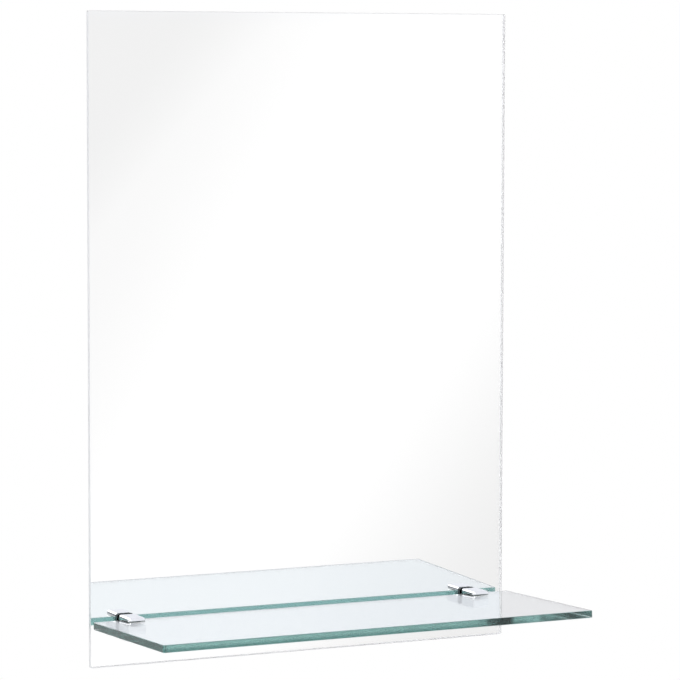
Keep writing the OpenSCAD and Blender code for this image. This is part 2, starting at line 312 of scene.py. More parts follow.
@dataclass(frozen=True)
class FloatGlass(Finish):
    """Float glass with polished faces and a ground rim, tinted through its depth."""

    name: str
    half_width: float
    half_height: float
    arris: float
    thickness: float
    centre: Vector3
    lean: float
    absorbed: Colour
    rim_roughness: float
    arris_roughness: float = 1.0
    roughness: Point2 = (0.7, 0.6)
    relief: float = 0.0005 * MM
    ior: float = 1.52
    density: float = 12.0
    margin: float = 0.05 * MM

    def surface(self, recipe: Recipe) -> Dict[str, Any]:
        """Clear faces, a rim with the lines of its grinding and matt arrises.

        Args:
            recipe: The tree that is written.

        Returns:
            The Principled shader's inputs.
        """
        place = recipe.place(self.centre, (self.lean, 0, 0))
        x, y, z = recipe.split(place)
        height, depth = (z, y) if self.lean == 0 else (y, z)
        inset = self.arris - self.margin
        over_side = abs(x) - (self.half_width - inset)
        over_end = abs(height) - (self.half_height - inset)
        rim = over_side.larger(over_end) > 0
        arris = rim * (abs(depth) > self.thickness / 2 - inset)
        grind = recipe.noise(place, scale=900, detail=3, stretch=(1, 1, 4))
        ground = rim * self.rough(grind) * self.rim_roughness
        return {
            "Base Color": (1, 1, 1),
            "Roughness": ground.larger(arris * self.arris_roughness),
            "IOR": self.ior,
            "Transmission Weight": 1.0,
            "Normal": recipe.bump(grind * rim, self.relief),
        }

    def filling(self, recipe: Recipe) -> Dict[str, Any]:
        """The tint that deepens along a ray's way through the glass.

        Args:
            recipe: The tree that is written.

        Returns:
            The output's input for its volume.
        """
        tint = tuple(1 - share / self.density for share in self.absorbed)
        inputs = {"Color": tint, "Density": self.density}
        return {"Volume": recipe.node("ShaderNodeVolumeAbsorption", inputs=inputs).outputs[0]}


@dataclass(frozen=True)
class Silver(Finish):
    """Silvering seen through the glass, with the faintest cloud in it."""

    name: str = "silvering"
    bright: Colour = (0.996, 0.996, 0.996)
    clouded: Colour = (0.992, 0.992, 0.992)

    def surface(self, recipe: Recipe) -> Dict[str, Any]:
        """A mirror metal.

        Args:
            recipe: The tree that is written.

        Returns:
            The Principled shader's inputs.
        """
        cloud = recipe.noise(recipe.place(), scale=9, detail=1)
        return {
            "Base Color": recipe.blend(cloud, self.bright, self.clouded),
            "Metallic": 1.0,
            "Roughness": 0.0,
        }


@dataclass(frozen=True)
class BackPaint(Finish):
    """Roller-coated protective paint on the back of the silvering."""

    name: str = "mirror back paint"
    light: Colour = (0.38, 0.40, 0.41)
    dark: Colour = (0.30, 0.325, 0.335)
    streaked: float = 0.6
    span: Point2 = (0.3, 0.7)
    roughness: Point2 = (0.42, 0.15)
    relief: float = 0.03 * MM

    def surface(self, recipe: Recipe) -> Dict[str, Any]:
        """A satin paint with roller streaks and a fine orange peel.

        Args:
            recipe: The tree that is written.

        Returns:
            The Principled shader's inputs.
        """
        place = recipe.place()
        streaks = recipe.noise(place, scale=1, detail=4, stretch=(60, 1, 2.5))
        clouds = recipe.noise(place, scale=7, detail=3)
        peel = recipe.noise(place, scale=900, detail=2)
        tone = (streaks * self.streaked + clouds * (1 - self.streaked)).ramp(*self.span)
        return {
            "Base Color": recipe.blend(tone, self.dark, self.light),
            "Roughness": self.rough(peel),
            "Normal": recipe.bump(peel, self.relief),
        }


@dataclass(frozen=True)
class ChromePlate(Finish):
    """Bright chrome on a polished casting, with painted shade in a band just above the shelf and
    satin below the shelf.
    """

    shelf_top: float
    shelf_under: float
    nose: float
    # Painted shade: flat is how far above the shelf's top the darkened band reaches, and blur is
    # how soft its edges are.
    flat: float = 1.2 * MM
    blur: float = 0.3 * MM
    satin_band: float = 3 * MM
    satin: float = 0.3
    smeared: Point2 = (0.35, 0.8)
    roughness: Point2 = (0.05, 0.05)
    relief: float = 0.03 * MM
    name: str = "chrome plate"
    bright: Colour = (0.93, 0.93, 0.94)
    dull: Colour = (0.88, 0.88, 0.885)
    # Painted shade: the colour of that band, which stands in for the shade just above the shelf.
    thin: Colour = (0.5, 0.5, 0.51)

    def surface(self, recipe: Recipe) -> Dict[str, Any]:
        """A chrome with the slight swell of its casting.

        Args:
            recipe: The tree that is written.

        Returns:
            The Principled shader's inputs.
        """
        place = recipe.place()
        swell = recipe.noise(place, scale=90, detail=1)
        smears = recipe.noise(place, scale=420, detail=3)
        _, depth, height = recipe.split(place)
        under = 1 - height.ramp(self.shelf_under - self.satin_band, self.shelf_under)
        # Painted shade: chrome is darkened from the shelf's underside to a little above its top,
        # behind the nose.
        low = 1 - height.ramp(self.shelf_top + self.flat - self.blur, self.shelf_top + self.flat)
        painted_shade_band = (low - under).larger(0) * depth.ramp(self.nose, self.nose + self.blur)
        plate = recipe.blend(smears, self.dull, self.bright)
        return {
            "Base Color": recipe.blend(painted_shade_band, plate, self.thin),
            "Metallic": 1.0,
            "Roughness": self.rough(smears.ramp(*self.smeared)) + under * self.satin,
            "Normal": recipe.bump(swell, self.relief),
        }


@dataclass(frozen=True)
class Grained(Finish):
    """A finish in two mingled tones under a fine grain.

    Patches and grain are the scale and the detail of their noise.
    """

    name: str
    low: Colour
    high: Colour
    patches: Point2
    grain: Point2
    roughness: Point2
    relief: float
    stretch: Vector3 = (1, 1, 1)
    span: Optional[Point2] = None

    def surface(self, recipe: Recipe) -> Dict[str, Any]:
        """The two tones and the grain.

        Args:
            recipe: The tree that is written.

        Returns:
            The Principled shader's inputs.
        """
        place = recipe.place()
        grain = recipe.noise(place, *self.grain, self.stretch)
        tone = recipe.noise(place, *self.patches)
        tone = tone.ramp(*self.span) if self.span else tone
        return {
            "Base Color": recipe.blend(tone, self.low, self.high),
            "Roughness": self.rough(grain),
            "Normal": recipe.bump(grain, self.relief),
        }


@dataclass(frozen=True)
class Nylon(Grained):
    """Natural moulded nylon, with the spark-eroded grain of its mould."""

    name: str = "moulded nylon"
    low: Colour = (0.79, 0.775, 0.71)
    high: Colour = (0.86, 0.85, 0.80)
    patches: Point2 = (160, 2)
    grain: Point2 = (2600, 2)
    roughness: Point2 = (0.38, 0.2)
    relief: float = 0.02 * MM

    def surface(self, recipe: Recipe) -> Dict[str, Any]:
        """A satin plastic that lets a little light in.

        Args:
            recipe: The tree that is written.

        Returns:
            The Principled shader's inputs.
        """
        return {
            **super().surface(recipe),
            "Subsurface Weight": 0.15,
            "Subsurface Radius": (1.0, 0.9, 0.7),
            "Subsurface Scale": 1.0 * MM,
        }


@dataclass(frozen=True)
class ZincPlate(Grained):
    """Zinc-plated steel with fine tool marks."""

    name: str = "zinc plate"
    low: Colour = (0.46, 0.47, 0.50)
    high: Colour = (0.60, 0.61, 0.63)
    patches: Point2 = (330, 3)
    grain: Point2 = (2400, 3)
    roughness: Point2 = (0.22, 0.2)
    relief: float = 0.01 * MM
    stretch: Vector3 = (1, 6, 1)

    def surface(self, recipe: Recipe) -> Dict[str, Any]:
        """A dull bright metal."""
        return {**super().surface(recipe), "Metallic": 1.0}


@dataclass(frozen=True)
class SoftRubber(Grained):
    """Dark moulded rubber with a little bloom."""

    name: str = "soft rubber"
    low: Colour = (0.032, 0.034, 0.037)
    high: Colour = (0.062, 0.064, 0.068)
    patches: Point2 = (130, 3)
    grain: Point2 = (1800, 3)
    roughness: Point2 = (0.55, 0.2)
    relief: float = 0.04 * MM
    span: Optional[Point2] = (0.35, 0.75)


@dataclass(frozen=True)
class GalvanisedSheet(Finish):
    """Hot-dip galvanised sheet with its spangle."""

    name: str = "galvanised sheet"
    pale: Colour = (0.66, 0.675, 0.69)
    dark: Colour = (0.47, 0.485, 0.50)
    spangle: float = 260.0
    spangled: float = 0.7
    span: Point2 = (0.05, 0.95)
    roughness: Point2 = (0.3, 0.16)
    relief: float = 0.02 * MM

    def surface(self, recipe: Recipe) -> Dict[str, Any]:
        """A sheet metal whose crystals differ in tone and gloss.

        Args:
            recipe: The tree that is written.

        Returns:
            The Principled shader's inputs.
        """
        place = recipe.place()
        inputs = {"Vector": place, "Scale": self.spangle}
        crystals = recipe.node("ShaderNodeTexVoronoi", inputs=inputs)
        level = recipe.split(crystals.outputs["Color"])[0]
        scuffs = recipe.noise(place, scale=9, detail=4, stretch=(8, 8, 90))
        tone = (level * self.spangled + scuffs * (1 - self.spangled)).ramp(*self.span)
        return {
            "Base Color": recipe.blend(tone, self.dark, self.pale),
            "Metallic": 0.9,
            "Roughness": self.rough(level),
            "Normal": recipe.bump(scuffs, self.relief),
        }


@dataclass(frozen=True)
class FoamStrip(Finish):
    """Closed-cell foam of the adhesive strips."""

    name: str = "foam strip"
    pale: Colour = (0.83, 0.81, 0.75)
    cell: Colour = (0.66, 0.635, 0.57)
    cells: float = 2200.0
    span: Point2 = (0.15, 0.6)
    roughness: Point2 = (0.82, 0.1)
    relief: float = 0.12 * MM

    def surface(self, recipe: Recipe) -> Dict[str, Any]:
        """A matt foam with open cut cells.

        Args:
            recipe: The tree that is written.

        Returns:
            The Principled shader's inputs.
        """
        inputs = {"Vector": recipe.place(), "Scale": self.cells}
        cells = recipe.node("ShaderNodeTexVoronoi", inputs=inputs)
        pits = Wire(cells.outputs["Distance"]).ramp(*self.span)
        return {
            "Base Color": recipe.blend(pits, self.cell, self.pale),
            "Roughness": self.rough(pits),
            "Normal": recipe.bump(pits, self.relief),
        }


@dataclass(frozen=True)
class StudioFloor(Finish):
    """Pale floor that shows white and keeps the shadow."""

    name: str = "studio floor"
    pale: Colour = (0.93, 0.93, 0.93)
    cool: Colour = (0.925, 0.926, 0.93)
    glow: float = 0.14

    def surface(self, recipe: Recipe) -> Dict[str, Any]:
        """A pale matt floor with a little light of its own.

        Args:
            recipe: The tree that is written.

        Returns:
            The Principled shader's inputs.
        """
        cloud = recipe.noise(recipe.place(), scale=2, detail=1)
        return {
            "Base Color": recipe.blend(cloud, self.pale, self.cool),
            "Roughness": 0.9,
            "Specular IOR Level": 0.0,
            "Emission Color": (1, 1, 1),
            "Emission Strength": self.glow,
        }


# ---- Shapes ----


def finished(piece: Piece, smooth_angle: float = 35.0, weighted: bool = False) -> Piece:
    """Turns a piece's live modifiers into plain mesh, shaded smooth below an angle.

    Args:
        piece: The object, which keeps its name and materials.
        smooth_angle: Edges flatter than this are smooth, in degrees.
        weighted: True where flat faces keep their flat look beside rounded edges.

    Returns:
        The same object with a plain mesh.
    """
    settle(piece)
    piece.data.shade_smooth()
    piece.data.set_sharp_from_angle(angle=math.radians(smooth_angle))
    if weighted:
        even = piece.modifiers.new("even", "WEIGHTED_NORMAL")
        even.keep_sharp = True
        settle(piece)
    return piece


def settle(piece: Piece) -> None:
    """Writes the result of a piece's modifiers into its mesh and removes them.

    Args:
        piece: The piece.
    """
    graph = bpy.context.evaluated_depsgraph_get()
    graph.update()
    baked = bpy.data.meshes.new_from_object(piece.evaluated_get(graph), depsgraph=graph)
    piece.modifiers.clear()
    old, piece.data = piece.data, baked
    bpy.data.meshes.remove(old)
    piece.data.name = piece.name


def new_piece(name: str, shape: Shape, materials: Sequence[Material]) -> Piece:
    """Makes an object at the origin from a shape, with its faces turned outwards.

    Args:
        name: The piece's name.
        shape: Its shape, in the part's frame; it is freed here.
        materials: Its materials, by slot.

    Returns:
        The linked object.
    """
    bmesh.ops.remove_doubles(shape, verts=shape.verts[:], dist=MERGED)
    bmesh.ops.recalc_face_normals(shape, faces=shape.faces[:])
    mesh = bpy.data.meshes.new(name)
    shape.to_mesh(mesh)
    shape.free()
    for material in materials:
        mesh.materials.append(material)
    piece = bpy.data.objects.new(name, mesh)
    bpy.context.scene.collection.objects.link(piece)
    return piece


def arc(centre: Point2, radius: float, start: float, end: float, steps: int) -> List[Point2]:
    """Points along an arc.

    Args:
        centre: The arc's centre.
        radius: Its radius.
        start: First angle in degrees.
        end: Last angle in degrees.
        steps: Number of chords.

    Returns:
        The points, both ends included.
    """
    angles = [math.radians(start + (end - start) * i / steps) for i in range(steps + 1)]
    return [
        (centre[0] + radius * math.cos(a), centre[1] + radius * math.sin(a)) for a in angles
    ]


def round_outline(width: float, height: float, radius: float) -> List[Point2]:
    """Outline of a rectangle with round corners, round the origin.

    Args:
        width: Its width.
        height: Its height.
        radius: Its corner radius.

    Returns:
        The outline, anticlockwise.
    """
    x, y = width / 2 - radius, height / 2 - radius
    corners = [((x, y), 0), ((-x, y), 90), ((-x, -y), 180), ((x, -y), 270)]
    outline: List[Point2] = []
    for centre, start in corners:
        outline += arc(centre, radius, start, start + 90, CORNER_STEPS)
    return outline


def moved(piece: Piece, x: float = 0.0, y: float = 0.0, z: float = 0.0) -> Piece:
    """Shifts a piece's mesh, and gives back the piece."""
    piece.data.transform(Matrix.Translation((x, y, z)))
    return piece


def turned(profile: Sequence[Point2], steps: int = ROUND_STEPS) -> Shape:
    """Turns a profile round the Z axis, as on a lathe.

    Args:
        profile: Radius and height of each point; a closed line unless it starts and ends
            on the axis.
        steps: Facets round the axis.

    Returns:
        The closed shape.
    """
    shape = bmesh.new()
    turns = [2 * math.pi * i / steps for i in range(steps)]
    rings = [
        [
            shape.verts.new((radius * math.cos(a), radius * math.sin(a), height))
            for a in (turns if radius > TINY else turns[:1])
        ]
        for radius, height in profile
    ]
    pairs = list(zip(rings, rings[1:]))
    if len(rings[0]) > 1 or len(rings[-1]) > 1:
        pairs.append((rings[-1], rings[0]))
    for lower, upper in pairs:
        for i in range(steps):
            corners = [lower[i % len(lower)], lower[(i + 1) % len(lower)]]
            corners += [upper[(i + 1) % len(upper)], upper[i % len(upper)]]
            unique = list(dict.fromkeys(corners))
            if len(unique) > 2:
                shape.faces.new(unique)
    return shape


def cut_from(piece: Piece, cutter: Piece) -> None:
    """Cuts one closed shape out of another.

    Args:
        piece: What is cut.
        cutter: What is taken away; it is removed afterwards.
    """
    cut = piece.modifiers.new("cut", "BOOLEAN")
    cut.operation = "DIFFERENCE"
    cut.solver = "EXACT"
    cut.object = cutter
    settle(piece)
    bpy.data.objects.remove(cutter)


def hexagon_cutter(across: float, depth: float, tip: float = 0.2) -> Piece:
    """What a hexagon socket takes out.

    Args:
        across: Distance across the flats.
        depth: Its depth.
        tip: Height of its drilled tip, as a share of that distance.

    Returns:
        A six-sided cutter that rises from the origin, with a drilled tip.
    """
    radius = across / math.sqrt(3)
    profile = [(0.0, 0.0), (radius, 0.0), (radius, depth), (0.0, depth + tip * across)]
    return new_piece("socket cutter", turned(profile, 6), [])


def loop_edges(loops: Sequence[Sequence[Point2]]) -> List[Tuple[int, int]]:
    """Edges of closed loops whose points are numbered on from loop to loop.

    Args:
        loops: The loops.

    Returns:
        The numbers of each edge's two points.
    """
    edges: List[Tuple[int, int]] = []
    first = 0
    for loop in loops:
        count = len(loop)
        edges += [(first + i, first + (i + 1) % count) for i in range(count)]
        first += count
    return edges


def triangulated(
    points: Sequence[Vector], edges: Sequence[Tuple[int, int]], loops: Sequence[Sequence[Point2]]
) -> Tuple[List[Vector], List[List[int]]]:
    """Fills a flat outline round its holes with triangles.

    Args:
        points: Points that become corners.
        edges: Pairs of them that become edges.
        loops: The outline and the holes.

    Returns:
        The corners, and the numbers of each triangle's three.
    """
    corners, _, faces, _, _, _ = delaunay_2d_cdt(points, edges, [], 0, CLOSE)
    kept: List[List[int]] = []
    for face in faces:
        middle = sum((corners[i] for i in face), Vector((0, 0))) / len(face)
        if sum(inside_loop((middle.x, middle.y), loop) for loop in loops) == 1:
            kept.append(face)
    return corners, kept


def add_plate(
    shape: Shape,
    loops: Sequence[Sequence[Point2]],
    middle: float,
    front: float,
    back: float,
) -> None:
    """Adds an upright plate with holes.

    Args:
        shape: What the plate is added to.
        loops: Outline first, then the holes, each round the plate's middle.
        middle: Height of the plate's middle.
        front: Y of its front face.
        back: Y of its back face.
    """
    flat = [Vector(point) for loop in loops for point in loop]
    edges = loop_edges(loops)
    points, faces = triangulated(flat, edges, loops)
    layers = [
        [shape.verts.new((p.x, depth, p.y + middle)) for p in points]
        for depth in (front, back)
    ]
    for face in faces:
        for layer in layers:
            shape.faces.new([layer[i] for i in face])
    for a, b in edges:
        shape.faces.new([layers[0][a], layers[0][b], layers[1][b], layers[1][a]])


def inside_loop(point: Point2, loop: Sequence[Point2]) -> bool:
    """Tests a point against a closed loop.

    Args:
        point: The point.
        loop: The loop.

    Returns:
        True if the loop runs round the point.
    """
    x, y = point
    inside = False
    for (ax, ay), (bx, by) in zip(loop, [*loop[1:], loop[0]]):
        if (ay > y) != (by > y) and x < ax + (y - ay) * (bx - ax) / (by - ay):
            inside = not inside
    return inside


class GeometryTree(TreeWriter):
    """A Geometry Nodes tree with named inputs, written for one piece."""

    def __init__(self, name: str, material: Material, sizes: Mapping[str, Number]) -> None:
        """Starts a tree.

        Args:
            name: The tree's name.
            material: What the tree's result is dressed in.
            sizes: The value of each named input, a float or a whole number.
        """
        super().__init__(bpy.data.node_groups.new(name, "GeometryNodeTree"))
        self.values = {**sizes, "Material": material}
        face = self.tree.interface
        face.new_socket("Geometry", in_out="INPUT", socket_type="NodeSocketGeometry")
        for key, value in self.values.items():
            kind = {float: "Float", int: "Int"}.get(type(value), "Material")
            face.new_socket(key, in_out="INPUT", socket_type="NodeSocket" + kind)
        face.new_socket("Geometry", in_out="OUTPUT", socket_type="NodeSocketGeometry")
        self.input = self.node("NodeGroupInput")
        self.output = self.node("NodeGroupOutput")

    def size(self, name: str) -> Wire:
        """One of the tree's named inputs."""
        return Wire(self.input.outputs[name])

    def result(self, kind: str, **inputs: Any) -> Socket:
        """First output of a new node.

        Args:
            kind: The node's type, after GeometryNode.
            inputs: Values or links by the input's name, with a low line for each space.

        Returns:
            The output's socket.
        """
        named = {key.replace("_", " "): value for key, value in inputs.items()}
        return self.node("GeometryNode" + kind, inputs=named).outputs[0]

    def run(self, piece: Piece, geometry: Socket) -> Piece:
        """Ends the tree, runs it on a piece and keeps the result as plain mesh.

        Args:
            piece: The piece that the tree changes or fills.
            geometry: What the tree made.

        Returns:
            The same piece.
        """
        real = self.result("RealizeInstances", Geometry=geometry)
        dressed = self.result("SetMaterial", Geometry=real, Material=self.size("Material"))
        plug(self.output.inputs[0], dressed)
        modifier = piece.modifiers.new(self.tree.name, "NODES")
        modifier.node_group = self.tree
        for item in self.tree.interface.items_tree:
            if item.in_out == "INPUT" and item.name in self.values:
                modifier[item.identifier] = self.values[item.name]
        settle(piece)
        return piece


@dataclass(frozen=True)
class Thread:
    """A screw thread: a ridge wound round a core."""

    major: float
    pitch: float
    length: float
    steepness: float = 0.6
    sunk: float = 0.95
    turn_steps: int = 32

    @property
    def depth(self) -> float:
        """Depth of the ridge."""
        return self.steepness * self.pitch

    @property
    def core(self) -> float:
        """Radius of the core, into which the ridge sinks a little."""
        return self.major / 2 - self.depth * self.sunk

    def wound(self, name: str, material: Material) -> Piece:
        """Winds the ridge with Geometry Nodes.

        Args:
            name: Name of the piece.
            material: Its finish.

        Returns:
            The ridge, rising from the origin along Z.
        """
        sizes = {
            "Pitch radius": self.major / 2 - self.depth,
            "Length": self.length - self.pitch,
            "Turns": self.length / self.pitch - 1,
            "Ridge": self.depth,
        }
        tree = GeometryTree(name + " thread", material, sizes)
        spiral = tree.result(
            "CurveSpiral",
            Resolution=self.turn_steps,
            Rotations=tree.size("Turns"),
            Start_Radius=tree.size("Pitch radius"),
            End_Radius=tree.size("Pitch radius"),
            Height=tree.size("Length"),
        )
        upright = tree.node("GeometryNodeSetCurveNormal", {"mode": "Z_UP"}, {"Curve": spiral})
        ridge = tree.result("CurvePrimitiveCircle", Resolution=4, Radius=tree.size("Ridge"))
        swept = tree.result(
            "CurveToMesh", Curve=upright.outputs[0], Profile_Curve=ridge, Fill_Caps=True
        )
        return tree.run(new_piece(name, bmesh.new(), []), swept)


def pair_of(piece: Piece, half_spacing: float, material: Material) -> None:
    """Sets a second copy of a piece beside it with Geometry Nodes.

    Args:
        piece: The piece, drawn midway.
        half_spacing: Distance of each copy from the middle.
        material: Its finish.
    """
    sizes = {"Half spacing": half_spacing, "Copies": 2}
    tree = GeometryTree(piece.name + " pair", material, sizes)
    start, step = (
        tree.node("ShaderNodeCombineXYZ", inputs={"X": tree.size("Half spacing") * share})
        for share in (-1.0, 2.0)
    )
    row = tree.result(
        "MeshLine",
        Count=tree.size("Copies"),
        Start_Location=start.outputs[0],
        Offset=step.outputs[0],
    )
    copies = tree.result(
        "InstanceOnPoints", Points=row, Instance=tree.input.outputs["Geometry"]
    )
    tree.run(piece, copies)


def joined(name: str, pieces: Sequence[Piece]) -> Piece:
    """Joins several pieces into one.

    Args:
        name: The result's name.
        pieces: What is joined; all share one set of materials.

    Returns:
        The joined object.
    """
    shape = bmesh.new()
    for piece in pieces:
        shape.from_mesh(piece.data)
    mesh = bpy.data.meshes.new(name)
    shape.to_mesh(mesh)
    shape.free()
    for material in pieces[0].data.materials:
        mesh.materials.append(material)
    whole = bpy.data.objects.new(name, mesh)
    bpy.context.scene.collection.objects.link(whole)
    for piece in pieces:
        bpy.data.objects.remove(piece)
    return whole


def dress(node: str, material: Material) -> None:
    """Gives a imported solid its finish.

    Args:
        node: The solid's name.
        material: Its finish.
    """
    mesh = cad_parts[node].data
    mesh.materials.clear()
    mesh.materials.append(material)
    LOG.info("%s keeps its solid, in %s", node, material.name)


def seat(piece: Piece, body: str, slot: str, *nodes: str) -> None:
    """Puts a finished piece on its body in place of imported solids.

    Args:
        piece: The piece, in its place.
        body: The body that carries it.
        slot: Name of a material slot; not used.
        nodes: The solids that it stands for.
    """
    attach(piece, body)
    if nodes:
        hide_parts(*nodes)
    LOG.info("%s rides on %s, %d faces", piece.name, body, len(piece.data.polygons))


# ---- The object ----


class Side(Enum):
    """Left or right, as seen from the room."""

    LEFT = -1
    RIGHT = 1

    @property
    def word(self) -> str:
        """The side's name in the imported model."""
        return self.name.lower()


@dataclass(frozen=True)
class Layout:
    """Sizes that several pieces share, in metres."""

    mirror_width: float = 500 * MM
    mirror_height: float = 700 * MM
    mirror_top: float = 100 * MM
    mirror_corner: float = 2 * MM
    arris: float = 0.5 * MM
    paint_back: float = -8 * MM
    glass_back: float = -8.3 * MM
    glass_front: float = -13.3 * MM
    clamp_back: float = -15.3 * MM
    shelf_width: float = 502 * MM
    shelf_depth: float = 192 * MM
    shelf_thickness: float = 8 * MM
    shelf_gap: float = 10 * MM
    shelf_top: float = -549 * MM
    shelf_pitch: float = math.radians(1.9)
    clamp_x: float = 208 * MM
    throat_depth: float = 27 * MM
    bolt_z: float = -557.25 * MM
    hole_diameter: float = 10 * MM
    screw_y: float = -20 * MM

    @property
    def mirror_middle(self) -> float:
        """Height of the mirror's middle."""
        return self.mirror_top - self.mirror_height / 2

    def leaning(self, x: float) -> Matrix:
        """Frame that leans with the shelf.

        Args:
            x: Where it stands along the shelf.

        Returns:
            The frame, from where the shelf's top plane meets the mirror.
        """
        foot = Matrix.Translation((x, self.glass_front, self.shelf_top))
        return foot @ Matrix.Rotation(-self.shelf_pitch, 4, "X")

    def at_clamp(self, side: Side) -> Matrix:
        """The leaning frame at one clamp."""
        return self.leaning(side.value * self.clamp_x)


class Finishes:
    """Every finish of the object, written once."""

    def __init__(self, layout: Layout) -> None:
        """Writes the finishes.

        Args:
            layout: The shared sizes.
        """
        self.mirror_glass = FloatGlass(
            name="mirror float glass",
            half_width=layout.mirror_width / 2,
            half_height=layout.mirror_height / 2,
            arris=layout.arris,
            thickness=layout.glass_back - layout.glass_front,
            centre=(0, (layout.glass_back + layout.glass_front) / 2, layout.mirror_middle),
            lean=0.0,
            absorbed=(0.2, 0.17, 0.18),
            rim_roughness=1.5,
        ).material()
        shelf_middle = layout.leaning(0) @ Vector(
            (0, -layout.shelf_gap - layout.shelf_depth / 2, -layout.shelf_thickness / 2)
        )
        self.shelf_glass = FloatGlass(
            name="shelf float glass",
            half_width=layout.shelf_width / 2,
            half_height=layout.shelf_depth / 2,
            arris=layout.arris,
            thickness=layout.shelf_thickness,
            centre=tuple(shelf_middle),
            lean=-layout.shelf_pitch,
            absorbed=(7.0, 3.8, 4.15),
            rim_roughness=0.15,
        ).material()
        self.silver = Silver().material()
        self.back_paint = BackPaint().material()
        self.chrome = ChromePlate(
            shelf_top=layout.shelf_top,
            shelf_under=layout.shelf_top - layout.shelf_thickness,
            nose=layout.glass_front - layout.throat_depth,
        ).material()
        self.nylon = Nylon().material()
        self.zinc = ZincPlate().material()
        self.galvanised = GalvanisedSheet().material()
        self.rubber = SoftRubber().material()
        self.seal = SoftRubber(
            name="seal rubber", low=(0.08, 0.115, 0.122), high=(0.115, 0.155, 0.165)
        ).material()
        self.foam = FoamStrip().material()


@dataclass
class MirrorSheet:
    """The mirror: glass, silvering and the paint behind it."""

    layout: Layout
    finishes: Finishes
    silver_sink: float = 0.03 * MM

    def build(self) -> None:
        """Dresses the glass and builds the silvered back."""
        dress("mirror_glass", self.finishes.mirror_glass)
        seat(self._silvered_back(), "mirror", "mirror_silver", "mirror_backing")

    def _silvered_back(self) -> Piece:
        """Builds a sheet of slight thickness, bright in front and painted behind.

        Returns:
            The sheet, let into the glass by the thickness of the silver.
        """
        lay = self.layout
        outline = round_outline(
            lay.mirror_width - 2 * lay.arris,
            lay.mirror_height - 2 * lay.arris,
            lay.mirror_corner - lay.arris,
        )
        hole = arc((0, 0), lay.hole_diameter / 2, 0, 360, ROUND_STEPS)[:-1]
        drop = lay.bolt_z - lay.mirror_middle
        holes = [[(x + side.value * lay.clamp_x, y + drop) for x, y in hole] for side in Side]
        shape = bmesh.new()
        front = lay.glass_back - self.silver_sink
        add_plate(shape, [outline, *holes], lay.mirror_middle, front, lay.paint_back)
        coats = [self.finishes.silver, self.finishes.back_paint]
        sheet = new_piece("silvered_back", shape, coats)
        for face in sheet.data.polygons:
            face.material_index = 0 if round(face.normal.y) == -1 else 1
        return sheet


@dataclass
class ShelfSheet:
    """The clear glass shelf."""

    finishes: Finishes

    def build(self) -> None:
        """Dresses the shelf's glass."""
        dress("shelf_glass", self.finishes.shelf_glass)


